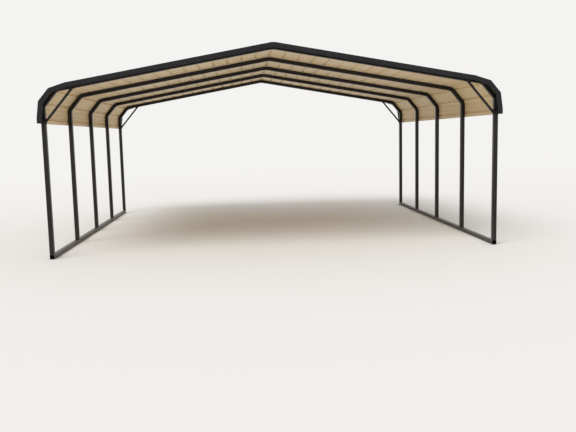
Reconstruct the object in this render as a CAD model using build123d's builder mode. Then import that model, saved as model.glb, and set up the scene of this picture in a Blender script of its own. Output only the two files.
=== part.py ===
from build123d import *
from itertools import accumulate
from math import cos, hypot, radians, sin, tan
import os

# Carport: five bent tube frames on two base rails, under a ribbed sheet roof whose
# lowest panels are carried round the eave corners and down the tops of the sides.
# Origin on the floor at the centre of the plan. X is across, Y runs from the front
# (low Y) to the back, Z is up. Millimetres.

# Frame
frame_width = 6706.0  # over the outer faces of the legs
frame_spacing = 1524.0  # centre to centre
frame_count = 5
splice_height = 1900.0  # where a leg ends and its bow begins
bow_stem = 277.0  # straight lower end of a bow, up to its first bend
bend_radius = 160.0  # outer face of a bow, at the two bends of the eave corner
corner_flat = 216.0  # straight part of the bow between these bends
roof_angle = 10.0  # slope of the roof, in degrees
ridge_radius = 300.0  # outer face of the bow at the ridge

# Square tube of rails, legs and bows
tube = 63.5
tube_wall = 2.0
tube_corner = 2.4  # flat across each long edge, in place of a 4 mm round
slip_clearance = 1.25  # round a stub or a nipple, on each side
stub_wall = 2.0
stub_height = 150.0  # stub on a rail, up inside its leg
nipple_reach = 150.0  # nipple of a bow, into the next tube
nipple_hold = 100.0  # the same nipple, welded in its own tube
anchor_hole = 14.0
anchor_setback = 150.0  # from the centre of a leg

# Corner braces of the two end frames
brace_size = 32.0
brace_wall = 1.6
brace_setback = 172.0  # seat of a brace, from the nearer bend
tab_length = 92.0
tab_thickness = 3.0

# Roof sheet
roof_overhang = 152.5  # past the centre of an end frame
sheet_drop = 197.0  # lower edge of the sheet, below the lower bend of the corner
sheet = 0.8
panels_per_side = 4
ribs_per_panel = 4
rib_height = 19.0
rib_foot = 45.0
rib_top = 20.0
rib_shift = 7.5  # the two ribs beside the corner flat, past its ends
sheet_seat = 0.4  # between a tube and the sheet on it
lap_clearance = 0.3  # between the nested ribs of two panels

# Trims
trim_sheet = 1.0
trim_seat = 0.4  # between the sheet and a trim on it
end_trim_face = 70.0
end_trim_flange = 62.0
end_trim_lip = 10.0
eave_trim_face = 62.0
corner_lift = 5.5  # extra rise of an end trim where it bends over a corner rib

# Derived frame sizes
pitch = radians(roof_angle)
half_width = frame_width / 2
leg_x = half_width - tube / 2
frame_length = frame_spacing * (frame_count - 1)
rail_length = frame_length + tube
roof_length = frame_length + 2 * roof_overhang
bore = tube - 2 * tube_wall
stub = bore - 2 * slip_clearance
stub_bore = stub - 2 * stub_wall
welded = tube - tube_wall  # outer size of a nipple where it is welded in

# Cross-section of the tubes' outer faces, from the ridge to the foot of a bow: runs of
# a length and a radius, which is zero where they are straight. The girth is measured
# along the runs.
bend = (radians(90) - pitch) / 2
bend_tangent = bend_radius * tan(bend / 2)
corner_cut = (corner_flat / 2 + bend_tangent) / cos(bend)  # off slope and side alike
side_top = splice_height + bow_stem
apex_z = side_top + bend_tangent + corner_cut + half_width * tan(pitch)
ridge_height = apex_z - ridge_radius / cos(pitch) + ridge_radius
eave_height = side_top - sheet_drop
slope_tangents = ridge_radius * tan(pitch) + bend_tangent
slope_length = half_width / cos(pitch) - slope_tangents - corner_cut
skin_runs = [
    (ridge_radius * pitch, ridge_radius),
    (slope_length, 0),
    (bend_radius * bend, bend_radius),
    (corner_flat, 0),
    (bend_radius * bend, bend_radius),
    (bow_stem, 0),
]
skin_stops = list(accumulate(length for length, radius in skin_runs))
slope_end, flat_start, flat_end, corner_end, splice_end = skin_stops[1:]
skin_end = corner_end + sheet_drop

# Derived roof sizes. The ribs are evenly spaced down to the upper bend, and the last
# two follow from the lower bend.
rib_count = panels_per_side * ribs_per_panel
even_ribs = rib_count - 2
rib_pitch = (flat_start - rib_shift) / even_ribs
rib_lean = (rib_foot - rib_top) / 2 / rib_height
lap = sheet + lap_clearance
rib_rise = sheet_seat + rib_height + sheet
lap_rise = rib_rise + lap
eave_trim_rise = rib_rise + trim_seat + trim_sheet
end_trim_rise = max(lap_rise, eave_trim_rise) + trim_seat + trim_sheet
trim_bottom = eave_height - trim_seat - trim_sheet

sides = {"left": -1, "right": 1}
ends = {"front": -1, "back": 1}


# Upright plane across the carport at the distance y, drawn in x and z
def cross_plane(y):
    return Plane(origin=(0, y, 0), x_dir=(1, 0, 0), z_dir=(0, -1, 0))


# Point at a girth from the ridge and a rise off the tubes' outer faces.
# A girth below zero lies past the ridge, on the other side.
def skin_point(side, girth, rise):
    x, z, turn = 0, ridge_height, 0
    left = abs(girth)
    for length, radius in skin_runs:
        step = min(left, length)
        left -= step
        if radius:
            next_turn = turn + step / radius
            x += radius * (sin(next_turn) - sin(turn))
            z += radius * (cos(next_turn) - cos(turn))
            turn = next_turn
        else:
            x += step * cos(turn)
            z -= step * sin(turn)
    x += rise * sin(turn)
    z += rise * cos(turn)
    return (-side * x if girth < 0 else side * x, z)


# Radius of the skin at a girth, zero where it is straight
def skin_radius(girth):
    run = sum(stop < abs(girth) for stop in skin_stops)
    return skin_runs[run][1]


# Lines and arcs along the skin from one girth to another, at one rise
def skin_line(side, start, end, rise):
    low, high = min(start, end), max(start, end)
    joins = [sign * stop for sign in (-1, 1) for stop in skin_stops]
    stops = [low] + sorted(join for join in joins if low < join < high) + [high]
    if start > end:
        stops.reverse()
    for begin, finish in zip(stops, stops[1:]):
        middle = (begin + finish) / 2
        points = [skin_point(side, girth, rise) for girth in (begin, middle, finish)]
        if skin_radius(middle):
            ThreePointArc(*points)
        else:
            Line(points[0], points[2])


# Cross-section of a square tube with its long edges cut flat, in the open sketch
def tube_section():
    flat, edge = tube / 2 - tube_corner, tube / 2
    corners = []
    for x, y in ((1, 1), (-1, 1), (-1, -1), (1, -1)):
        cut = [(x * edge, y * flat), (x * flat, y * edge)]
        corners += cut if x == y else reversed(cut)
    Polygon(*corners, align=None)
    Rectangle(bore, bore, mode=Mode.SUBTRACT)


# Cross-section of a stub or nipple, in the open sketch
def stub_section(outer):
    Rectangle(outer, outer)
    Rectangle(stub_bore, stub_bore, mode=Mode.SUBTRACT)


def frame_y(number):
    return (number - 1) * frame_spacing - frame_length / 2


# Base rail: a tube along the floor with a stub for each leg and its anchor holes
def base_rail(side):
    with BuildPart() as rail:
        with BuildSketch(cross_plane(-rail_length / 2)):
            with Locations((side * leg_x, tube / 2)):
                tube_section()
        extrude(amount=-rail_length)
        with BuildSketch(Plane.XY.offset(tube)):
            for number in range(1, frame_count + 1):
                with Locations((side * leg_x, frame_y(number))):
                    stub_section(stub)
        extrude(amount=stub_height)
        for number in range(1, frame_count + 1):
            inward = -1 if frame_y(number) > 0 else 1
            y = frame_y(number) + inward * anchor_setback
            with Locations((side * leg_x, y, tube)):
                Hole(radius=anchor_hole / 2, depth=tube)
    return rail.part


# Leg: a plain tube that stands on the rail over its stub
def leg(side, number):
    with BuildPart() as post:
        with BuildSketch(Plane.XY.offset(tube)):
            with Locations((side * leg_x, frame_y(number))):
                tube_section()
        extrude(amount=splice_height - tube)
    return post.part


# Half bow: one tube bent at the ridge and at the eave corner, with a nipple down
# into its leg. The left half also carries the nipple that joins it to the right.
def bow(side, number):
    y = frame_y(number)
    axis_rise = -tube / 2
    top = Plane(origin=(0, y, ridge_height - tube / 2), x_dir=(0, 1, 0), z_dir=(side, 0, 0))
    with BuildPart() as half:
        with BuildLine(cross_plane(y)) as axis:
            skin_line(side, 0, splice_end, axis_rise)
        with BuildSketch(top):
            tube_section()
        sweep(path=axis.wires()[0])
        with BuildSketch(Plane.XY.offset(splice_height)):
            with Locations((side * leg_x, y)):
                stub_section(welded)
        extrude(amount=nipple_hold)
        with BuildSketch(Plane.XY.offset(splice_height)):
            with Locations((side * leg_x, y)):
                stub_section(stub)
        extrude(amount=-nipple_reach)
        if side < 0:
            with BuildLine(cross_plane(y)) as held:
                skin_line(side, 0, nipple_hold, axis_rise)
            with BuildSketch(top):
                stub_section(welded)
            sweep(path=held.wires()[0])
            with BuildLine(cross_plane(y)) as reaching:
                skin_line(side, 0, -nipple_reach, axis_rise)
            with BuildSketch(top):
                stub_section(stub)
            sweep(path=reaching.wires()[0])
    return half.part


# Corner brace: a light tube across the inside of the bend, mitred to the two faces
# it bears on, with a screw tab at each end
def corner_brace(side, number):
    y = frame_y(number)
    low_x, low_z = skin_point(side, corner_end + brace_setback, -tube)
    high_x, high_z = skin_point(side, slope_end - brace_setback, -tube)
    low = Vector(low_x, y, low_z)
    high = Vector(high_x, y, high_z)
    length = (high - low).length
    across = Plane(origin=(low + high) * 0.5, x_dir=(0, 1, 0), z_dir=high - low)
    low_face = Plane(origin=low, x_dir=(0, 1, 0), z_dir=(-side, 0, 0))
    high_face = Plane(origin=high, x_dir=(0, 1, 0), z_dir=(-side * sin(pitch), 0, -cos(pitch)))
    with BuildPart() as brace:
        with BuildSketch(across):
            Rectangle(brace_size, brace_size)
        extrude(amount=length, both=True)
        split(bisect_by=low_face, keep=Keep.TOP)
        split(bisect_by=high_face, keep=Keep.TOP)
        with BuildSketch(low_face, high_face):
            Rectangle(brace_size, tab_length)
        extrude(amount=tab_thickness)
        with BuildSketch(across):
            Rectangle(brace_size - 2 * brace_wall, brace_size - 2 * brace_wall)
        extrude(amount=length, both=True, mode=Mode.SUBTRACT)
    return brace.part


# Girth at the centre line of a rib, counted from the one on the ridge
def rib_centre(rib):
    if rib <= even_ribs:
        return rib * rib_pitch
    return flat_end + rib_shift + (rib - even_ribs - 1) * rib_pitch


# Half width of a rib at a height above the sheet's seat, grown by an offset
def rib_half(height, offset):
    return rib_foot / 2 - height * rib_lean + offset * hypot(1, rib_lean)


# The four corners of one face of a rib, as girth and height
def rib_face(centre, offset, first_height, last_height):
    top = rib_height + offset
    return [
        (centre - rib_half(first_height, offset), first_height),
        (centre - rib_half(top, offset), top),
        (centre + rib_half(top, offset), top),
        (centre + rib_half(last_height, offset), last_height),
    ]


# One face of a panel, from its upper edge to its lower edge. The face lies at a
# depth of zero inside, or of one sheet outside. A rib over the neighbour's rib is
# larger by the lap and stops above the neighbour's flat.
def panel_face(panel, depth, over_ridge):
    first_rib = panel * ribs_per_panel
    last_rib = first_rib + ribs_per_panel
    if over_ridge:
        corners = rib_face(rib_centre(first_rib), lap + depth, lap, depth)
    else:
        corners = rib_face(rib_centre(first_rib), depth, 0, depth)
    for rib in range(first_rib + 1, last_rib):
        corners += rib_face(rib_centre(rib), depth, depth, depth)
    if last_rib == rib_count:
        corners += rib_face(rib_centre(last_rib), depth, depth, depth)
        corners.append((skin_end, depth))
    else:
        corners += rib_face(rib_centre(last_rib), lap + depth, depth, lap)
    return corners


# Draws a panel's face: flats follow the skin, and a rib's sides are straight
def draw_face(side, corners):
    for (girth, height), (next_girth, next_height) in zip(corners, corners[1:]):
        rise = sheet_seat + height
        if height == next_height and height <= sheet:
            skin_line(side, girth, next_girth, rise)
        else:
            Line(skin_point(side, girth, rise), skin_point(side, next_girth, sheet_seat + next_height))


# Roof panel: ribbed sheet that runs from front to back over all the bows
def roof_panel(side, panel):
    over_ridge = panel == 0 and side > 0
    inner = panel_face(panel, 0, over_ridge)
    outer = panel_face(panel, sheet, over_ridge)
    outer.reverse()
    with BuildPart() as roof:
        with BuildSketch(cross_plane(-roof_length / 2)):
            with BuildLine():
                draw_face(side, inner)
                draw_face(side, [inner[-1], outer[0]])
                draw_face(side, outer)
                draw_face(side, [outer[-1], inner[0]])
            make_face()
        extrude(amount=-roof_length)
    return roof.part


# Outer line of an end trim on the right: it lies on the ribs of the slope, and at the
# corner runs straight from rib to rib
def trim_line():
    peak = ridge_height + end_trim_rise
    shoulder = (ridge_radius + end_trim_rise) * tan(pitch / 2)
    girths = [rib_centre(rib) for rib in range(even_ribs - 1, rib_count + 1)]
    girths[-1] = min(girths[-1], skin_end - eave_trim_face)
    lifts = [0, corner_lift, corner_lift, 0]
    points = [(0, peak), (shoulder, peak)]
    for girth, lift in zip(girths, lifts):
        points.append(skin_point(1, girth, end_trim_rise + lift))
    points.append((half_width + end_trim_rise, trim_bottom))
    return points


# The same line moved inwards, square to each of its flats, with its ends still on the
# plane of the ridge and at the level of its foot
def inset_line(points, depth):
    normals = []
    for (x, z), (next_x, next_z) in zip(points, points[1:]):
        length = hypot(next_x - x, next_z - z)
        normals.append(((z - next_z) / length, (next_x - x) / length))
    first, last = normals[0], normals[-1]
    normals = [(-first[0], first[1])] + normals + [(last[0], -last[1])]
    inner = []
    for (x, z), one, two in zip(points, normals, normals[1:]):
        share = depth / (1 + one[0] * two[0] + one[1] * two[1])
        inner.append((x - share * (one[0] + two[0]), z - share * (one[1] + two[1])))
    return inner


# End trim: a channel of folded sheet, with its face across the ends of the panels, its
# flange on top of their ribs and a stiff lip. Each fold reaches from one depth inside
# the outer line to another.
def end_trim(side, end):
    face_y = end * (roof_length / 2 + trim_seat + trim_sheet)
    outer = trim_line()
    folds = [
        (0, end_trim_face, trim_sheet),
        (0, trim_sheet, end_trim_flange),
        (end_trim_face - trim_sheet, end_trim_face, end_trim_lip),
    ]
    with BuildPart() as trim:
        for near, far, length in folds:
            corners = inset_line(outer, near) + list(reversed(inset_line(outer, far)))
            with BuildSketch(cross_plane(face_y)):
                with BuildLine():
                    Polyline(*[(side * x, z) for x, z in corners], close=True)
                make_face()
            extrude(amount=end * length)
    return trim.part


# Eave trim: an angle under the lower edge of the sheet and up the outside of it
def eave_trim(side):
    inside = half_width + sheet_seat
    outside = half_width + eave_trim_rise
    corners = [
        (inside, trim_bottom),
        (outside, trim_bottom),
        (outside, trim_bottom + eave_trim_face),
        (outside - trim_sheet, trim_bottom + eave_trim_face),
        (outside - trim_sheet, trim_bottom + trim_sheet),
        (inside, trim_bottom + trim_sheet),
    ]
    with BuildPart() as trim:
        with BuildSketch(cross_plane(-roof_length / 2)):
            with BuildLine():
                Polyline(*[(side * x, z) for x, z in corners], close=True)
            make_face()
        extrude(amount=-roof_length)
    return trim.part


# Writes a finished piece under its name
def save(piece, name):
    piece.label = name
    export_step(piece, f"parts/{name}.step")


os.makedirs("parts", exist_ok=True)
for side_name, side in sides.items():
    save(base_rail(side), f"base_rail_{side_name}")
    for number in range(1, frame_count + 1):
        save(leg(side, number), f"leg_{side_name}_{number}")
        save(bow(side, number), f"bow_{side_name}_{number}")
    save(corner_brace(side, 1), f"brace_front_{side_name}")
    save(corner_brace(side, frame_count), f"brace_back_{side_name}")
    for panel in range(panels_per_side):
        save(roof_panel(side, panel), f"roof_panel_{side_name}_{panel + 1}")
    for end_name, end in ends.items():
        save(end_trim(side, end), f"end_trim_{end_name}_{side_name}")
    save(eave_trim(side), f"eave_trim_{side_name}")
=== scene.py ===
import bmesh
import bpy
import itertools
import math
from mathutils import Matrix, Vector


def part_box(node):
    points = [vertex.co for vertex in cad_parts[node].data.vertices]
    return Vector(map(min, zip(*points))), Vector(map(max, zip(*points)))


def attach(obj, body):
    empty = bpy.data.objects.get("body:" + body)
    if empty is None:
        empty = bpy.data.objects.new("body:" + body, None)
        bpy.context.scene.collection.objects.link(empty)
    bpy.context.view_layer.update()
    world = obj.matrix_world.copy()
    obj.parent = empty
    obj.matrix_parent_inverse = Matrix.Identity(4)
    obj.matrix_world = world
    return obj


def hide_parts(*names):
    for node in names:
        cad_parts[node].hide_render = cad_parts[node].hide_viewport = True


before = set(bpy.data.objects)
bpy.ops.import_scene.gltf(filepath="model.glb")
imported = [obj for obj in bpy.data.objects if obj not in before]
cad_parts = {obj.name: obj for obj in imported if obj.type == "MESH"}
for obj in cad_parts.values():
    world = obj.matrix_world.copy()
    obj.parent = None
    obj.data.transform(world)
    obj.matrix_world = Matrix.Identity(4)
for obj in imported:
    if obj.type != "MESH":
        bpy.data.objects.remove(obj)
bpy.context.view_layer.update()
print("frame:", len(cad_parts), "nodes")

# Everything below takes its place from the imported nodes, in metres.
# The front is at low y, z is up, and side is -1 on the left and 1 on the right.
sides = {"left": -1, "right": 1}
ends = {"front": -1, "back": 1}
frameCount = 5
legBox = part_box("leg_right_1")
halfWidth = legBox[1].x
tubeSize = legBox[1].x - legBox[0].x
legX = halfWidth - tubeSize / 2
railTop = legBox[0].z
spliceZ = legBox[1].z
frameRows = [sum(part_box(f"leg_right_{n}")[i].y for i in (0, 1)) / 2
             for n in range(1, frameCount + 1)]
railEnds = [corner.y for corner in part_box("base_rail_right")]
roofEnds = [corner.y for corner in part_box("roof_panel_right_1")]
roofLength = roofEnds[1] - roofEnds[0]
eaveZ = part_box("roof_panel_right_4")[0].z
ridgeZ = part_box("bow_right_1")[1].z

# The line of the bows' outer faces as runs of a length and a radius, from the ridge to
# the splice, the way the frame was bent
skinForm = {"bendRadius": 0.160, "cornerFlat": 0.216, "ridgeRadius": 0.300, "bowStem": 0.277,
            "slopeDegrees": 10.0}
slope = math.radians(skinForm["slopeDegrees"])
bend = (math.pi / 2 - slope) / 2
bendRadius = skinForm["bendRadius"]
cornerFlat = skinForm["cornerFlat"]
ridgeRadius = skinForm["ridgeRadius"]
bendTangent = bendRadius * math.tan(bend / 2)
cornerCut = (cornerFlat / 2 + bendTangent) / math.cos(bend)
slopeRun = halfWidth / math.cos(slope) - ridgeRadius * math.tan(slope) - bendTangent - cornerCut
skinRuns = [(ridgeRadius * slope, ridgeRadius), (slopeRun, 0), (bendRadius * bend, bendRadius),
            (cornerFlat, 0), (bendRadius * bend, bendRadius), (skinForm["bowStem"], 0)]
skinStops = list(itertools.accumulate(length for length, radius in skinRuns))
slopeEnd, flatStart, flatEnd, cornerEnd, spliceEnd = skinStops[1:]
skinEnd = spliceEnd - (eaveZ - spliceZ)


def skinPlace(side, girth, rise):
    # point and outward turn at a girth from the ridge and a rise off the tubes
    x, z, turn, left = 0, ridgeZ, 0, abs(girth)
    for length, radius in skinRuns:
        step = min(left, length)
        left -= step
        if radius:
            nextTurn = turn + step / radius
            x += radius * (math.sin(nextTurn) - math.sin(turn))
            z += radius * (math.cos(nextTurn) - math.cos(turn))
            turn = nextTurn
        else:
            x += step * math.cos(turn)
            z -= step * math.sin(turn)
    x += rise * math.sin(turn)
    z += rise * math.cos(turn)
    hand = -side if girth < 0 else side
    return hand * x, z, hand * turn


def skinPoint(side, girth, rise, y):
    x, z, turn = skinPlace(side, girth, rise)
    return Vector((x, y, z))


def skinMatrix(side, girth, rise, y):
    # stands a shape upright on the skin: its z along the outward normal
    x, z, turn = skinPlace(side, girth, rise)
    return Matrix.Translation((x, y, z)) @ Matrix.Rotation(turn, 4, "Y")


# Small helpers for colours, nodes and objects

def linearColour(hexText):
    # sRGB hex to the linear values that Blender works in
    values = [int(hexText[i:i + 2], 16) / 255 for i in (1, 3, 5)]
    return [v / 12.92 if v <= 0.04045 else ((v + 0.055) / 1.055) ** 2.4 for v in values] + [1.0]


def toneStops(positions, hexTexts):
    return [(position, linearColour(text)) for position, text in zip(positions, hexTexts)]


def setStops(elements, stops):
    # a new ramp has two stops, which become the first and the last
    elements[0].position, elements[0].color = stops[0]
    elements[1].position, elements[1].color = stops[-1]
    for position, colour in stops[1:-1]:
        elements.new(position).color = colour


def perMetre(millimetres):
    # scale of a noise whose pattern is about this large
    return 1000 / millimetres


def addNode(owner, kind, settings=None, links=None):
    # settings are properties, input values or the stops of a ramp; links are inputs fed by
    # (node, output) pairs
    tree = owner.node_tree
    node = tree.nodes.new(kind)
    for name, value in (settings or {}).items():
        if name == "stops":
            setStops(node.color_ramp.elements, value)
        elif hasattr(node, str(name)):
            setattr(node, name, value)
        else:
            node.inputs[name].default_value = value
    for name, (source, output) in (links or {}).items():
        tree.links.new(source.outputs[output], node.inputs[name])
    return node


def newMaterial(name):
    material = bpy.data.materials.new(name)
    material.use_nodes = True
    material.node_tree.nodes.clear()
    return material


def finishMaterial(material, shader):
    addNode(material, "ShaderNodeOutputMaterial", links={"Surface": (shader, "BSDF")})
    return material


def softNormals(piece):
    # keeps large flats flat beside their small rounded edges
    piece.modifiers.new("normals", "WEIGHTED_NORMAL").keep_sharp = True


def finishMesh(name, bm):
    mesh = bpy.data.meshes.new(name)
    bm.to_mesh(mesh)
    bm.free()
    return mesh


smoothAngles = {"tube": 40, "sheet": 50, "fastener": 30}  # degrees, past which an edge is sharp
sameSpot = 1e-6  # metres, within which two points count as one


def newPiece(name, bm, materials, smoothAngle):
    # turns a finished bmesh into a piece that rides on the one body
    for face in bm.faces:
        face.smooth = True
    mesh = finishMesh(name, bm)
    mesh.set_sharp_from_angle(angle=math.radians(smoothAngle))
    for material in materials:
        mesh.materials.append(material)
    piece = bpy.data.objects.new(name, mesh)
    bpy.context.scene.collection.objects.link(piece)
    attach(piece, "root")
    return piece


# Materials. A finish holds the sizes of its patterns in millimetres, and a coat its colours,
# its range of roughness and its dust.

# the tubes' streak size is that of a painted reflection: lighter bands drawn into their colour
tubeFinish = {"streak": 110, "grime": 36, "orangePeel": 7.5}
tubeCoat = {"tones": ["#130f0e", "#191413", "#211a18"], "roughness": (0.30, 0.44), "ior": 1.38,
            "dust": 0.16, "dustColour": "#6e6052", "dustBottom": 0.02, "dustTop": 0.45}


def paintedTube():
    # Roll-formed square tube, galvanised and coated black-brown: a dark, fairly glossy
    # face with soft lighter bands drawn into its colour as a painted reflection, and dust low
    # down. Its orange peel, 2 or 3 mm on a real coat, is drawn coarser so that it shows.
    material = newMaterial("tube_blackBrownCoated")
    place = addNode(material, "ShaderNodeTexCoord")
    # painted reflection: soft lighter bands in the tubes' colour that stand in for light along
    # their glossy faces
    paintedLightStreaks = addNode(material, "ShaderNodeTexNoise",
                      {"Scale": perMetre(tubeFinish["streak"]), "Detail": 3.0, "Roughness": 0.55},
                      {"Vector": (place, "Object")})
    tone = addNode(material, "ShaderNodeValToRGB",
                   {"stops": toneStops((0.30, 0.55, 0.80), tubeCoat["tones"])},
                   {"Fac": (paintedLightStreaks, "Fac")})
    height = addNode(material, "ShaderNodeSeparateXYZ", links={"Vector": (place, "Object")})
    low = addNode(material, "ShaderNodeMapRange",
                  {"From Min": tubeCoat["dustBottom"], "From Max": tubeCoat["dustTop"],
                   "To Min": tubeCoat["dust"], "To Max": 0.0},
                  {"Value": (height, "Z")})
    grime = addNode(material, "ShaderNodeTexNoise",
                    {"Scale": perMetre(tubeFinish["grime"]), "Detail": 4.0},
                    {"Vector": (place, "Object")})
    dust = addNode(material, "ShaderNodeMath", {"operation": "MULTIPLY"},
                   {0: (low, "Result"), 1: (grime, "Fac")})
    colour = addNode(material, "ShaderNodeMix",
                     {"data_type": "RGBA", 7: linearColour(tubeCoat["dustColour"])},
                     {0: (dust, 0), 6: (tone, "Color")})
    gloss = addNode(material, "ShaderNodeMapRange",
                    {"From Min": 0.3, "From Max": 0.75, "To Min": tubeCoat["roughness"][0],
                     "To Max": tubeCoat["roughness"][1]},
                    {"Value": (grime, "Fac")})
    ripple = addNode(material, "ShaderNodeTexNoise",
                     {"Scale": perMetre(tubeFinish["orangePeel"]), "Detail": 2.0},
                     {"Vector": (place, "Object")})
    bump = addNode(material, "ShaderNodeBump", {"Strength": 0.10, "Distance": 0.0006},
                   {"Height": (ripple, "Fac")})
    shader = addNode(material, "ShaderNodeBsdfPrincipled", {"IOR": tubeCoat["ior"]},
                     {"Base Color": (colour, 2), "Roughness": (gloss, "Result"),
                      "Normal": (bump, "Normal")})
    return finishMaterial(material, shader)


sheetFinish = {"cloud": 1100, "markLength": 330, "markWidth": 40, "roller": 4.5}
trimCoat = {"tones": ["#0f0f12", "#131316", "#18181b"], "roughness": (0.38, 0.50), "ior": 1.36,
            "dust": 0.10, "dustColour": "#4c4944"}
# the roof's roughness starts at 0.30, because with 0.26 the denoiser draws hairlines in it
roofCoat = {"tones": ["#b9b4a8", "#bdb8ac", "#c2bdb2"], "roughness": (0.30, 0.42), "ior": 1.50,
            "dust": 0.14, "dustColour": "#8c867a"}
backerCoat = {"tones": ["#d3b98c", "#d7be92", "#dbc399"], "roughness": (0.42, 0.54), "ior": 1.50,
              "dust": 0.04, "dustColour": "#9f8a68"}


def coilCoatedSteel(name, coat):
    # Coil-coated sheet steel: an even satin paint film, a little thin dust in soft run-off
    # marks down the slope, and a sheen that varies with the dust. Its roller texture, about
    # 1 mm on a real coat, is drawn coarser so that it shows.
    material = newMaterial(name)
    place = addNode(material, "ShaderNodeTexCoord")
    cloud = addNode(material, "ShaderNodeTexNoise",
                    {"Scale": perMetre(sheetFinish["cloud"]), "Detail": 2.0},
                    {"Vector": (place, "Object")})
    tone = addNode(material, "ShaderNodeValToRGB",
                   {"stops": toneStops((0.30, 0.50, 0.70), coat["tones"])},
                   {"Fac": (cloud, "Fac")})
    narrow = sheetFinish["markLength"] / sheetFinish["markWidth"]
    stretch = addNode(material, "ShaderNodeMapping", {"Scale": (1.0, narrow, 1.0)},
                      {"Vector": (place, "Object")})
    marks = addNode(material, "ShaderNodeTexNoise",
                    {"Scale": perMetre(sheetFinish["markLength"]), "Detail": 1.5,
                     "Roughness": 0.40},
                    {"Vector": (stretch, "Vector")})
    markFade = addNode(material, "ShaderNodeMapRange",
                       {"From Min": 0.48, "From Max": 0.85, "To Min": 0.0,
                        "To Max": coat["dust"]},
                       {"Value": (marks, "Fac")})
    colour = addNode(material, "ShaderNodeMix",
                     {"data_type": "RGBA", 7: linearColour(coat["dustColour"])},
                     {0: (markFade, 0), 6: (tone, "Color")})
    gloss = addNode(material, "ShaderNodeMapRange",
                    {"From Min": 0.3, "From Max": 0.7, "To Min": coat["roughness"][0],
                     "To Max": coat["roughness"][1]},
                    {"Value": (marks, "Fac")})
    roller = addNode(material, "ShaderNodeTexNoise",
                     {"Scale": perMetre(sheetFinish["roller"]), "Detail": 1.0},
                     {"Vector": (place, "Object")})
    bump = addNode(material, "ShaderNodeBump", {"Strength": 0.06, "Distance": 0.0004},
                   {"Height": (roller, "Fac")})
    shader = addNode(material, "ShaderNodeBsdfPrincipled", {"IOR": coat["ior"]},
                     {"Base Color": (colour, 2), "Roughness": (gloss, "Result"),
                      "Normal": (bump, "Normal")})
    return finishMaterial(material, shader)


screwFinish = {"blotch": 6, "wear": 2.5, "bloom": 4}


def zincPlated():
    # Bright zinc-plated washers, nuts and rods of the anchors: a cool grey metal, a little
    # blotched
    material = newMaterial("screw_zincPlated")
    place = addNode(material, "ShaderNodeTexCoord")
    blotch = addNode(material, "ShaderNodeTexNoise",
                     {"Scale": perMetre(screwFinish["blotch"]), "Detail": 2.0},
                     {"Vector": (place, "Object")})
    tone = addNode(material, "ShaderNodeValToRGB",
                   {"stops": toneStops((0.3, 0.7), ["#8f9394", "#b7babb"])},
                   {"Fac": (blotch, "Fac")})
    shader = addNode(material, "ShaderNodeBsdfPrincipled", {"Metallic": 1.0, "Roughness": 0.36},
                     {"Base Color": (tone, "Color")})
    return finishMaterial(material, shader)


def blackenedScrew():
    # Screws with a black organic coat over zinc, worn thin in tiny spots: matt, nearly as
    # dark as the tubes
    material = newMaterial("screw_blackCoated")
    place = addNode(material, "ShaderNodeTexCoord")
    wear = addNode(material, "ShaderNodeTexNoise",
                   {"Scale": perMetre(screwFinish["wear"]), "Detail": 3.0},
                   {"Vector": (place, "Object")})
    tone = addNode(material, "ShaderNodeValToRGB",
                   {"stops": toneStops((0.35, 0.62, 0.78), ["#141313", "#1d1b1a", "#4a4846"])},
                   {"Fac": (wear, "Fac")})
    shader = addNode(material, "ShaderNodeBsdfPrincipled", {"Roughness": 0.5, "IOR": 1.40},
                     {"Base Color": (tone, "Color")})
    return finishMaterial(material, shader)


def washerRubber():
    # Moulded EPDM sealing washer: matt black, squeezed out a little under each head
    material = newMaterial("washer_mouldedRubber")
    place = addNode(material, "ShaderNodeTexCoord")
    bloom = addNode(material, "ShaderNodeTexNoise",
                    {"Scale": perMetre(screwFinish["bloom"]), "Detail": 2.0},
                    {"Vector": (place, "Object")})
    tone = addNode(material, "ShaderNodeValToRGB",
                   {"stops": toneStops((0.3, 0.7), ["#161616", "#232221"])},
                   {"Fac": (bloom, "Fac")})
    shader = addNode(material, "ShaderNodeBsdfPrincipled", {"Roughness": 0.75},
                     {"Base Color": (tone, "Color")})
    return finishMaterial(material, shader)


tubePaint = paintedTube()
trimPaint = coilCoatedSteel("trim_blackCoilCoated", trimCoat)
roofTopPaint = coilCoatedSteel("roof_stoneCoilCoated", roofCoat)
roofBackPaint = coilCoatedSteel("roof_tanBackerCoat", backerCoat)
zinc = zincPlated()
blackScrew = blackenedScrew()
rubber = washerRubber()
print("materials:", len(bpy.data.materials))


# Square tube, swept from a ring of faces

tubeForm = {"wall": 0.0020, "cornerRadius": 0.004, "cornerSegments": 3, "bendStep": 0.012,
            "jointGap": 0.0006}


def tubeRing(bm, size, place):
    # a square with rounded corners, hollowed by an inset: the cut end of a tube
    made = bmesh.ops.create_circle(bm, cap_ends=True, radius=size / math.sqrt(2), segments=4,
                                   matrix=place @ Matrix.Rotation(math.pi / 4, 4, "Z"))
    bmesh.ops.bevel(bm, geom=made["verts"], offset=tubeForm["cornerRadius"],
                    offset_type="OFFSET", affect="VERTICES",
                    segments=tubeForm["cornerSegments"], profile=0.5, material=-1)
    cap = max(bm.faces, key=lambda face: face.calc_area())
    inset = bmesh.ops.inset_region(bm, faces=[cap], thickness=tubeForm["wall"],
                                   use_boundary=True, use_even_offset=True)
    bmesh.ops.delete(bm, geom=[cap], context="FACES_ONLY")
    return inset["faces"]


def ringGeometry(faces):
    edges = list({edge for face in faces for edge in face.edges})
    verts = list({vert for face in faces for vert in face.verts})
    return faces + edges + verts


def tubeRun(bm, faces, move):
    grown = bmesh.ops.extrude_face_region(bm, geom=faces)["geom"]
    bmesh.ops.translate(bm, verts=[g for g in grown if isinstance(g, bmesh.types.BMVert)],
                        vec=move)
    return [g for g in grown if isinstance(g, bmesh.types.BMFace)]


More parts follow.
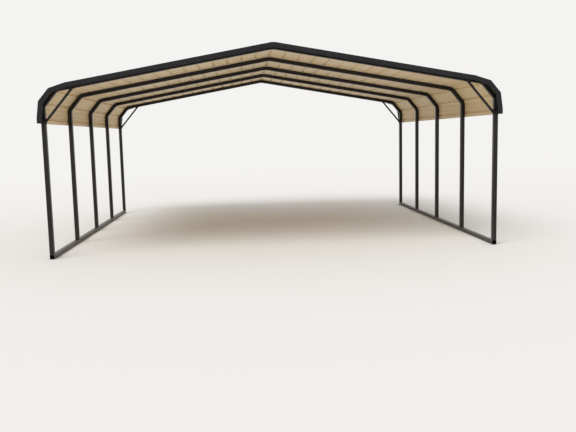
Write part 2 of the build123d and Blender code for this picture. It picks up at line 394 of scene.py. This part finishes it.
def tubeBend(bm, faces, centre, angle, steps):
    turned = bmesh.ops.spin(bm, geom=ringGeometry(faces), cent=centre, axis=(0, 1, 0),
                            dvec=(0, 0, 0), angle=angle, steps=steps, use_merge=False,
                            use_duplicate=False)
    return [g for g in turned["geom_last"] if isinstance(g, bmesh.types.BMFace)]


def tubePiece(name, bm, nodeName):
    bmesh.ops.remove_doubles(bm, verts=bm.verts, dist=sameSpot)
    bmesh.ops.recalc_face_normals(bm, faces=bm.faces)
    piece = newPiece(name, bm, [tubePaint], smoothAngles["tube"])
    softNormals(piece)
    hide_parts(nodeName)
    return piece


def makeLeg(sideName, number):
    side = sides[sideName]
    bm = bmesh.new()
    foot = Matrix.Translation((side * legX, frameRows[number - 1], railTop))
    faces = tubeRing(bm, tubeSize, foot)
    tubeRun(bm, faces, (0, 0, spliceZ - railTop - tubeForm["jointGap"]))
    tubePiece(f"leg_{sideName}_{number}_tube", bm, f"leg_{sideName}_{number}")


def makeRail(sideName):
    side = sides[sideName]
    bm = bmesh.new()
    lying = Matrix.Translation((side * legX, railEnds[0], tubeSize / 2))
    faces = tubeRing(bm, tubeSize, lying @ Matrix.Rotation(math.pi / 2, 4, "X"))
    tubeRun(bm, faces, (0, railEnds[1] - railEnds[0], 0))
    tubePiece(f"base_rail_{sideName}_tube", bm, f"base_rail_{sideName}")


def makeBow(sideName, number):
    # swept up from the splice to the ridge, one run of the skin after another
    side = sides[sideName]
    y = frameRows[number - 1]
    bm = bmesh.new()
    faces = tubeRing(bm, tubeSize, Matrix.Translation((side * legX, y, spliceZ)))
    girth = spliceEnd
    for length, radius in reversed(skinRuns):
        x, z, turn = skinPlace(side, girth, -radius)
        if radius:
            steps = round(length / tubeForm["bendStep"])
            faces = tubeBend(bm, faces, (x, y, z), -side * length / radius, steps)
        else:
            inside = [] if girth == spliceEnd else faces
            move = (-side * length * math.cos(turn), 0, side * length * math.sin(turn))
            faces = tubeRun(bm, faces, move)
            bmesh.ops.delete(bm, geom=[face for face in inside if face.is_valid],
                             context="FACES_ONLY")
        girth -= length
    joint = {vert for face in faces for vert in face.verts}
    bmesh.ops.translate(bm, verts=list(joint), vec=(side * tubeForm["jointGap"] / 2, 0, 0))
    tubePiece(f"bow_{sideName}_{number}_tube", bm, f"bow_{sideName}_{number}")


for sideName in sides:
    makeRail(sideName)
    for number in range(1, frameCount + 1):
        makeLeg(sideName, number)
        makeBow(sideName, number)
print("frame tubes made")


# Folded sheet

def foldedStrip(bm, profile, start, move):
    # one strip of sheet: a chain of points drawn out along its length
    verts = [bm.verts.new(start(point)) for point in profile]
    edges = [bm.edges.new(pair) for pair in zip(verts, verts[1:])]
    grown = bmesh.ops.extrude_edge_only(bm, edges=edges)["geom"]
    bmesh.ops.translate(bm, verts=[g for g in grown if isinstance(g, bmesh.types.BMVert)],
                        vec=move)


def bevelFolds(bm, radius):
    folds = [edge for edge in bm.edges if len(edge.link_faces) == 2]
    bmesh.ops.bevel(bm, geom=folds, offset=radius, offset_type="OFFSET", affect="EDGES",
                    segments=2, profile=0.5, material=-1)


def cutAcross(bm, point, normal, clearOuter=False):
    # cuts everything along a plane, and can clear what lies on the side it faces
    return bmesh.ops.bisect_plane(bm, geom=bm.verts[:] + bm.edges[:] + bm.faces[:],
                                  dist=sameSpot, plane_co=point, plane_no=normal,
                                  clear_outer=clearOuter)


def sheetPiece(name, bm, materials, outward, thickness, nodeName):
    # turns the sheet's outside to the given direction and gives it its thickness inwards
    bm.normal_update()
    facing = sum(face.normal.dot(outward) * face.calc_area() for face in bm.faces)
    if facing < 0:
        bmesh.ops.reverse_faces(bm, faces=bm.faces[:])
    piece = newPiece(name, bm, materials, smoothAngles["sheet"])
    wall = piece.modifiers.new("wall", "SOLIDIFY")
    wall.thickness = thickness
    wall.offset = -1.0
    wall.material_offset = len(materials) - 1
    softNormals(piece)
    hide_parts(nodeName)
    return piece


# Roof sheet: formed flat, ribs first, and then bent over the frames

sheetForm = {
    "thickness": 0.0005, "seat": 0.0004, "panels": 4, "ribsPerPanel": 4, "ribShift": 0.0075,
    "ribHeight": 0.019, "ribFoot": 0.045, "ribTop": 0.020, "lapLift": 0.0011,
    "swageHeight": 0.0028, "swageFoot": 0.024, "swageTop": 0.010, "flatTop": 0.003,
    "foldRadius": 0.0025, "rowLength": 0.20, "bendSteps": 8,
    "ridgeCuts": [-0.04, -0.025, -0.012, 0, 0.012, 0.025, 0.04],
}
ribCount = sheetForm["panels"] * sheetForm["ribsPerPanel"]
evenRibs = ribCount - 2  # evenly spaced from the ridge to the upper bend of the corner
ribPitch = (flatStart - sheetForm["ribShift"]) / evenRibs
ribLean = (sheetForm["ribFoot"] - sheetForm["ribTop"]) / 2 / sheetForm["ribHeight"]

# A slight buckle of each flat: how high it is, the share beside a rib that stays even, how
# fast it grows away from a frame, and its ripples as a height, a frequency and a shift
buckle = {"height": 0.0008, "evenShare": 0.12, "growth": 1.4, "sideSeed": 40,
          "ripples": [(0.6, 4.1, 2.3), (0.4, 6.7, 5.1)]}


def ribCentre(rib):
    # the last even rib and the next one stand either side of the corner's flat
    if rib <= evenRibs:
        return rib * ribPitch
    return flatEnd + sheetForm["ribShift"] + (rib - evenRibs - 1) * ribPitch


def ribHalf(height, offset):
    return sheetForm["ribFoot"] / 2 - height * ribLean + offset * math.hypot(1, ribLean)


def ribCorners(centre, offset, firstHeight, lastHeight):
    top = sheetForm["ribHeight"] + offset
    return [(centre - ribHalf(firstHeight, offset), firstHeight),
            (centre - ribHalf(top, offset), top), (centre + ribHalf(top, offset), top),
            (centre + ribHalf(lastHeight, offset), lastHeight)]


def swageCorners(rib):
    # two low stiffening swages in the flat below a rib
    corners = []
    foot, top = sheetForm["swageFoot"] / 2, sheetForm["swageTop"] / 2
    height = sheetForm["swageHeight"]
    for share in (1 / 3, 2 / 3):
        middle = ribCentre(rib) + share * ribPitch
        corners += [(middle - foot, 0), (middle - top, height), (middle + top, height),
                    (middle + foot, 0)]
    return corners


def panelCorners(side, panel):
    # fold lines of one panel on the flat, as girth and height; a rib that laps is larger
    lift = sheetForm["lapLift"]
    first = panel * sheetForm["ribsPerPanel"]
    last = first + sheetForm["ribsPerPanel"]
    firstLift = lift if panel == 0 and side > 0 else 0  # the right panel laps at the ridge
    corners = ribCorners(ribCentre(first), firstLift, firstLift, 0) + swageCorners(first)
    for rib in range(first + 1, last):
        corners += ribCorners(ribCentre(rib), 0, 0, 0) + swageCorners(rib)
    if last == ribCount:
        corners += ribCorners(ribCentre(last), 0, 0, 0) + [(skinEnd, 0)]
    else:
        corners += ribCorners(ribCentre(last), lift, 0, lift)
    return corners


def panWave(girth, y, seed):
    # the buckle of a flat, nothing at the ribs or over a frame
    even = buckle["evenShare"]
    share = ((girth / ribPitch) % 1 - even) / (1 - 2 * even)
    across = math.sin(math.pi * min(1, max(0, share)))
    # how far off the nearest frame is: 0 over it and 1 midway between two
    nearest = min(abs(y - row) for row in frameRows) / (frameRows[1] - frameRows[0]) * 2
    along = math.sin(math.pi / 2 * min(1, nearest * buckle["growth"])) ** 2
    ripple = 1
    for height, frequency, shift in buckle["ripples"]:
        ripple += height * math.sin(y * frequency + seed * shift)
    return buckle["height"] * across * along * ripple


def makePanel(sideName, panel):
    side = sides[sideName]
    corners = panelCorners(side, panel)
    bm = bmesh.new()
    foldedStrip(bm, corners, lambda corner: (corner[0], roofEnds[0], corner[1]),
                (0, roofLength, 0))
    bevelFolds(bm, sheetForm["foldRadius"])
    rows = round(roofLength / sheetForm["rowLength"])
    for row in range(1, rows):
        cutAcross(bm, (0, roofEnds[0] + roofLength * row / rows, 0), (0, 1, 0))
    bendSteps = sheetForm["bendSteps"]
    marks = [(rib + quarter / 4) * ribPitch for rib in range(ribCount + 1)
             for quarter in (1, 2, 3)]
    marks += sheetForm["ridgeCuts"]
    for start, end in ((slopeEnd, flatStart), (flatEnd, cornerEnd)):
        marks += [start + (end - start) * step / bendSteps for step in range(bendSteps + 1)]
    for mark in marks:
        if corners[0][0] < mark < corners[-1][0]:
            cutAcross(bm, (mark, 0, 0), (1, 0, 0))
    for vert in bm.verts:
        girth, y, height = vert.co
        seed = math.floor(girth / ribPitch) + buckle["sideSeed"] * side
        wave = panWave(girth, y, seed) if height < sheetForm["flatTop"] else 0
        rise = sheetForm["seat"] + height + wave
        vert.co = skinPoint(side, girth, rise + sheetForm["thickness"], y)
    outward = Vector((side * 0.5, 0, 1))
    sheetPiece(f"roof_sheet_{sideName}_{panel + 1}", bm, [roofTopPaint, roofBackPaint], outward,
               sheetForm["thickness"], f"roof_panel_{sideName}_{panel + 1}")


for sideName in sides:
    for panel in range(sheetForm["panels"]):
        makePanel(sideName, panel)
print("roof sheet made")


# Trims of folded sheet. An end trim is cut where it turns over a rib of the corner, and
# its strips lap there; its profile is a chain of depths inside the outer line. Its strips
# and bends are given by the numbers of the corners of that line.

trimForm = {
    "thickness": 0.0006, "endSeat": 0.0014, "rise": 0.0230, "cornerLift": 0.0055, "face": 0.070,
    "flange": 0.062, "lip": 0.010, "foldRadius": 0.0016, "lapStep": 0.0008,
    "strips": [(0, 2), (2, 3), (3, 4), (4, 6)], "bends": [1, 5],
    "eaveRise": 0.0216, "eaveFace": 0.062, "hem": 0.008, "hemDepth": 0.0030,
    "eaveFoldRadius": 0.0010,
}
trimBottom = eaveZ - trimForm["endSeat"]


def trimOutline():
    # outer line on the right side: peak, shoulder, the four lowest ribs and the foot
    rise, lift = trimForm["rise"], trimForm["cornerLift"]
    peak = ridgeZ + rise
    points = [Vector((0, peak)), Vector(((ridgeRadius + rise) * math.tan(slope / 2), peak))]
    ribs = range(evenRibs - 1, ribCount + 1)
    for rib, ribLift in zip(ribs, [0, lift, lift, 0]):
        girth = min(ribCentre(rib), skinEnd - trimForm["eaveFace"])
        x, z, turn = skinPlace(1, girth, rise + ribLift)
        points.append(Vector((x, z)))
    return points + [Vector((halfWidth + rise, trimBottom))]


def trimMitres(points):
    # way from each corner of the outer line to the same corner one metre further in
    normals = []
    for point, following in zip(points, points[1:]):
        run = (following - point).normalized()
        normals.append(Vector((-run.y, run.x)))
    normals.insert(0, Vector((-normals[0].x, normals[0].y)))
    normals.append(Vector((normals[-1].x, -normals[-1].y)))
    return [-(one + two) / (1 + one.dot(two)) for one, two in zip(normals, normals[1:])]


def makeEndTrim(sideName, endName):
    # drawn straight, with the numbers of the corners as its length, and then moved to them
    side, end = sides[sideName], ends[endName]
    outline = trimOutline()
    mitres = trimMitres(outline)
    face, lip = trimForm["face"], trimForm["lip"]
    bm = bmesh.new()
    for order, (first, last) in enumerate(trimForm["strips"]):
        faceY = roofEnds[1] + trimForm["endSeat"] - (1 - order % 2) * trimForm["lapStep"]
        profile = [(0, faceY - trimForm["flange"]), (0, faceY), (face, faceY),
                   (face, faceY - lip)]
        foldedStrip(bm, profile, lambda point: (first, *point), (last - first, 0, 0))
    bevelFolds(bm, trimForm["foldRadius"])
    for corner in trimForm["bends"]:
        cutAcross(bm, (corner, 0, 0), (1, 0, 0))
    for vert in bm.verts:
        corner, depth, y = round(vert.co.x), vert.co.y, vert.co.z
        place = outline[corner] + depth * mitres[corner]
        vert.co = (side * place.x, end * y, place.y)
    sheetPiece(f"end_trim_{endName}_{sideName}_folded", bm, [trimPaint], Vector((0, end, 0)),
               trimForm["thickness"], f"end_trim_{endName}_{sideName}")


def makeEaveTrim(sideName):
    side = sides[sideName]
    outside = halfWidth + trimForm["eaveRise"]
    top = trimBottom + trimForm["eaveFace"]
    profile = [(halfWidth + sheetForm["seat"], trimBottom), (outside, trimBottom),
               (outside, top), (outside - trimForm["hemDepth"], top - trimForm["hem"])]
    bm = bmesh.new()
    foldedStrip(bm, profile, lambda point: (side * point[0], roofEnds[0], point[1]),
                (0, roofLength, 0))
    bevelFolds(bm, trimForm["eaveFoldRadius"])
    sheetPiece(f"eave_trim_{sideName}_folded", bm, [trimPaint], Vector((side, 0, 0)),
               trimForm["thickness"], f"eave_trim_{sideName}")


for sideName in sides:
    makeEaveTrim(sideName)
    for endName in ends:
        makeEndTrim(sideName, endName)
print("trims made")


# Corner braces: a light tube between two tabs, in the two end frames

braceForm = {"size": 0.032, "setback": 0.172, "tabLength": 0.092, "tabThickness": 0.003,
             "tabCorner": 0.008, "tabCornerSegments": 4, "nearlyParallel": 0.9, "spare": 0.06}
braceSeats = [cornerEnd + braceForm["setback"], slopeEnd - braceForm["setback"]]


def makeBrace(sideName, endName, number):
    # drawn too long by the spare at each end and cut off on the faces of its tabs
    side = sides[sideName]
    y = frameRows[number - 1]
    low, high = [skinPoint(side, girth, -tubeSize, y) for girth in braceSeats]
    along = (high - low).normalized()
    across = Vector((0, 1, 0))
    turn = Matrix((across, along.cross(across), along)).transposed().to_4x4()
    size, thickness, spare = braceForm["size"], braceForm["tabThickness"], braceForm["spare"]
    bm = bmesh.new()
    faces = tubeRing(bm, size, Matrix.Translation(low - along * spare) @ turn)
    tubeRun(bm, faces, along * ((high - low).length + 2 * spare))
    for girth in braceSeats:
        seat = skinMatrix(side, girth, -tubeSize - thickness, y)
        mitre = cutAcross(bm, seat.translation, seat.col[2].xyz, clearOuter=True)
        rims = [g for g in mitre["geom_cut"] if isinstance(g, bmesh.types.BMEdge)]
        bmesh.ops.bridge_loops(bm, edges=rims)
    for girth in braceSeats:
        middle = skinMatrix(side, girth, -tubeSize - thickness / 2, y)
        tab = Matrix.Diagonal((braceForm["tabLength"], size, thickness, 1))
        verts = bmesh.ops.create_cube(bm, size=1, matrix=middle @ tab)["verts"]
        # the four edges through the tab's thickness are its corners
        through = middle.col[2].xyz
        corners = {edge for vert in verts for edge in vert.link_edges
                   if abs((edge.verts[1].co - edge.verts[0].co).normalized().dot(through))
                   > braceForm["nearlyParallel"]}
        bmesh.ops.bevel(bm, geom=list(corners), offset=braceForm["tabCorner"],
                        offset_type="OFFSET", affect="EDGES",
                        segments=braceForm["tabCornerSegments"], profile=0.5, material=-1)
    tubePiece(f"brace_{endName}_{sideName}_tube", bm, f"brace_{endName}_{sideName}")


for sideName in sides:
    makeBrace(sideName, "front", 1)
    makeBrace(sideName, "back", frameCount)
print("braces made")


# Screws: hexagon heads on a washer face, with a rubber washer where they seal the roof

screwForm = {"sides": 18, "seal": 0.0078, "sealTaper": 0.0005, "sealDepth": 0.0016,
             "flange": 0.0072, "flangeTaper": 0.0010, "flangeDepth": 0.0012, "hex": 0.0055,
             "hexDepth": 0.0046, "chamfer": 0.0006, "rimDepth": 1e-5}

# Anchors: sides, radius, height and chamfer of the plate washer, the nut and the rod's end
anchorForm = {"washer": (24, 0.0170, 0.0025, 0.0004), "nut": (6, 0.0110, 0.0100, 0.0010),
              "rod": (16, 0.0060, 0.0090, 0.0012), "setback": 0.15}

# Where the screws stand: beside a rib, rows of them down a lap, in from an end of the roof,
# up from the rail, from the splice, down from the ridge and either way from a tab's middle
screwRows = {"besideRib": 0.014, "lapRows": 10, "fromRoofEnd": 0.028,
             "fromRail": [0.035, 0.105], "fromSplice": [-0.035, -0.110, 0.035],
             "fromRidge": [0.030, 0.090], "alongTab": [-0.034, 0.034]}


def disc(bm, segments, low, high, base, depth, material=0):
    made = bmesh.ops.create_cone(bm, cap_ends=True, segments=segments, radius1=low,
                                 radius2=high, depth=depth,
                                 matrix=Matrix.Translation((0, 0, base + depth / 2)))
    faces = {face for vert in made["verts"] for face in vert.link_faces}
    for face in faces:
        face.material_index = material
    return made["verts"]


def chamferTop(bm, verts, offset):
    # rounds off the edges that lie in the top face
    top = max(vert.co.z for vert in verts)
    rim = {edge for vert in verts for edge in vert.link_edges
           if min(v.co.z for v in edge.verts) > top - screwForm["rimDepth"]}
    bmesh.ops.bevel(bm, geom=list(rim), offset=offset, offset_type="OFFSET", affect="EDGES",
                    segments=2, profile=0.5, material=-1)


def screwMesh(name, sealed):
    bm = bmesh.new()
    count, base = screwForm["sides"], 0.0
    if sealed:
        seal = screwForm["seal"]
        disc(bm, count, seal, seal - screwForm["sealTaper"], 0, screwForm["sealDepth"], 1)
        base = screwForm["sealDepth"]
    flange = screwForm["flange"]
    disc(bm, count, flange, flange - screwForm["flangeTaper"], base, screwForm["flangeDepth"])
    head = disc(bm, 6, screwForm["hex"], screwForm["hex"], base + screwForm["flangeDepth"],
                screwForm["hexDepth"])
    chamferTop(bm, head, screwForm["chamfer"])
    return finishMesh(name, bm)


def anchorMesh():
    bm = bmesh.new()
    base = 0
    for part in ("washer", "nut", "rod"):
        count, radius, depth, chamfer = anchorForm[part]
        chamferTop(bm, disc(bm, count, radius, radius, base, depth), chamfer)
        base += depth
    return finishMesh("anchor_pattern", bm)


def patternPiece(name, pattern, places, materials):
    # one piece with a copy of the pattern at each place
    bm = bmesh.new()
    for place in places:
        first = len(bm.verts)
        bm.from_mesh(pattern)
        bm.verts.ensure_lookup_table()
        bmesh.ops.transform(bm, matrix=place, verts=bm.verts[first:])
    piece = newPiece(name, bm, materials, smoothAngles["fastener"])
    return piece


def roofScrewPlaces(side):
    # one beside each rib wherever the sheet crosses a frame
    rise = sheetForm["seat"] + sheetForm["thickness"]
    places = []
    for y in frameRows:
        for rib in range(ribCount):
            girth = ribCentre(rib) + sheetForm["ribFoot"] / 2 + screwRows["besideRib"]
            places.append(skinMatrix(side, girth, rise, y))
    return places


def lapScrewPlaces(side):
    # down the tops of the ribs where one panel laps the next
    rise = (sheetForm["seat"] + sheetForm["ribHeight"] + sheetForm["lapLift"]
            + sheetForm["thickness"])
    rows, step = screwRows["lapRows"], sheetForm["ribsPerPanel"]
    return [skinMatrix(side, ribCentre(rib), rise, roofEnds[0] + roofLength * (row + 0.5) / rows)
            for rib in range(step, ribCount, step) for row in range(rows)]


def trimScrewPlaces(side):
    # into every second rib of the slope, at both ends
    y = roofEnds[1] - screwRows["fromRoofEnd"]
    return [skinMatrix(side, ribCentre(rib), trimForm["rise"], end * y)
            for rib in range(1, evenRibs, 2) for end in ends.values()]


def frameScrewPlaces(side):
    # on the front face of each frame, through leg and stub, by the splice and by the ridge,
    # and two on each tab of the braces
    places = []
    front = Matrix.Rotation(math.pi / 2, 4, "X")
    heights = [railTop + step for step in screwRows["fromRail"]]
    heights += [spliceZ + step for step in screwRows["fromSplice"]]
    for y in frameRows:
        faceY = y - tubeSize / 2
        places += [Matrix.Translation((side * legX, faceY, z)) @ front for z in heights]
        for girth in screwRows["fromRidge"]:
            x, z, turn = skinPlace(side, girth, -tubeSize / 2)
            places.append(Matrix.Translation((x, faceY, z)) @ front)
    under = Matrix.Rotation(math.pi, 4, "X")
    rise = -tubeSize - braceForm["tabThickness"]
    for y in (frameRows[0], frameRows[-1]):
        for girth in braceSeats:
            for step in screwRows["alongTab"]:
                places.append(skinMatrix(side, girth + step, rise, y) @ under)
    return places


def anchorPlaces(side):
    # beside each leg, on the side of it towards the middle of the rail
    places = []
    for y in frameRows:
        inward = -1 if y > 0 else 1
        place = (side * legX, y + inward * anchorForm["setback"], railTop)
        places.append(Matrix.Translation(place))
    return places


sealedScrew = screwMesh("sealed_screw_pattern", True)
bareScrew = screwMesh("bare_screw_pattern", False)
anchorPattern = anchorMesh()
for sideName, side in sides.items():
    patternPiece(f"roof_screws_{sideName}", sealedScrew, roofScrewPlaces(side),
                 [roofTopPaint, rubber])
    patternPiece(f"lap_screws_{sideName}", bareScrew, lapScrewPlaces(side), [roofTopPaint])
    patternPiece(f"trim_screws_{sideName}", bareScrew, trimScrewPlaces(side), [blackScrew])
    patternPiece(f"frame_screws_{sideName}", bareScrew, frameScrewPlaces(side), [blackScrew])
    patternPiece(f"anchors_{sideName}", anchorPattern, anchorPlaces(side), [zinc])
print("screws and anchors made")


# Floor, light and camera

studioForm = {"floorSize": 120.0, "fadeStart": 6.0, "fadeEnd": 26.0, "lighting": 0.78}


def paleFloor():
    # pale studio floor that fades into the background far away
    material = newMaterial("studio_paleFloor")
    place = addNode(material, "ShaderNodeTexCoord")
    reach = addNode(material, "ShaderNodeVectorMath", {"operation": "LENGTH"},
                    {0: (place, "Object")})
    fade = addNode(material, "ShaderNodeMapRange",
                   {"From Min": studioForm["fadeStart"], "From Max": studioForm["fadeEnd"],
                    "To Min": 0.0, "To Max": 1.0, "interpolation_type": "SMOOTHSTEP"},
                   {"Value": (reach, "Value")})
    matt = addNode(material, "ShaderNodeBsdfDiffuse", {"Color": linearColour("#e8e7e5")})
    glow = addNode(material, "ShaderNodeEmission",
                   {"Color": linearColour("#f4f3f1"), "Strength": 1.0})
    mix = addNode(material, "ShaderNodeMixShader",
                  links={0: (fade, "Result"), 1: (matt, "BSDF"), 2: (glow, "Emission")})
    addNode(material, "ShaderNodeOutputMaterial", links={"Surface": (mix, "Shader")})
    return material


def makeFloor():
    bm = bmesh.new()
    bmesh.ops.create_grid(bm, x_segments=4, y_segments=4, size=studioForm["floorSize"])
    mesh = finishMesh("studio_floor", bm)
    mesh.materials.append(paleFloor())
    floor = bpy.data.objects.new("studio_floor", mesh)
    bpy.context.scene.collection.objects.link(floor)


def makeWorld():
    # the camera and glossy faces see the pale background, which lights the rest less
    world = bpy.data.worlds.new("studio_world")
    world.use_nodes = True
    world.node_tree.nodes.clear()
    path = addNode(world, "ShaderNodeLightPath")
    seen = addNode(world, "ShaderNodeMath", {"operation": "MAXIMUM"},
                   {0: (path, "Is Camera Ray"), 1: (path, "Is Glossy Ray")})
    shown = addNode(world, "ShaderNodeBackground", {"Color": linearColour("#f4f3f1")})
    lighting = addNode(world, "ShaderNodeBackground",
                       {"Color": linearColour("#f8f7f5"), "Strength": studioForm["lighting"]})
    mix = addNode(world, "ShaderNodeMixShader",
                  links={0: (seen, 0), 1: (lighting, 0), 2: (shown, 0)})
    addNode(world, "ShaderNodeOutputWorld", links={"Surface": (mix, 0)})
    bpy.context.scene.world = world


studioLamp = {"name": "key_sun", "from": (-5.0, -6.5, 10.0), "softness": 40.0, "strength": 1.5}


def makeLamp():
    # one broad soft light from high on the left in front
    data = bpy.data.lights.new(studioLamp["name"], "SUN")
    data.angle = math.radians(studioLamp["softness"])
    data.energy = studioLamp["strength"]
    light = bpy.data.objects.new(studioLamp["name"], data)
    light.rotation_euler = (-Vector(studioLamp["from"])).to_track_quat("-Z", "Y").to_euler()
    bpy.context.scene.collection.objects.link(light)


cameraForm = {
    "place": (-0.4832, -13.0136, 1.7252), "yaw": 0.0650, "pitch": -0.1188, "roll": 0.0228,
    "focalPixels": 671.64, "imageWidth": 576, "sensor": 36.0, "clipEnd": 300,
}


def makeCamera():
    # stands a little left of the middle at eye height, and looks slightly down
    yaw, pitch, roll = cameraForm["yaw"], cameraForm["pitch"], cameraForm["roll"]
    ahead = Vector((math.sin(yaw) * math.cos(pitch), math.cos(yaw) * math.cos(pitch),
                    math.sin(pitch)))
    level = Vector((math.cos(yaw), -math.sin(yaw), 0))
    down = ahead.cross(level)
    right = math.cos(roll) * level + math.sin(roll) * down
    up = math.sin(roll) * level - math.cos(roll) * down
    data = bpy.data.cameras.new("photo_camera")
    data.sensor_width = cameraForm["sensor"]
    data.lens = cameraForm["focalPixels"] / cameraForm["imageWidth"] * cameraForm["sensor"]
    data.clip_end = cameraForm["clipEnd"]
    camera = bpy.data.objects.new("photo_camera", data)
    turn = Matrix((right, up, -ahead)).transposed().to_4x4()
    camera.matrix_world = Matrix.Translation(cameraForm["place"]) @ turn
    bpy.context.scene.collection.objects.link(camera)
    bpy.context.scene.camera = camera


makeFloor()
makeWorld()
makeLamp()
makeCamera()
bpy.context.scene.view_settings.view_transform = "Standard"
print("studio ready")
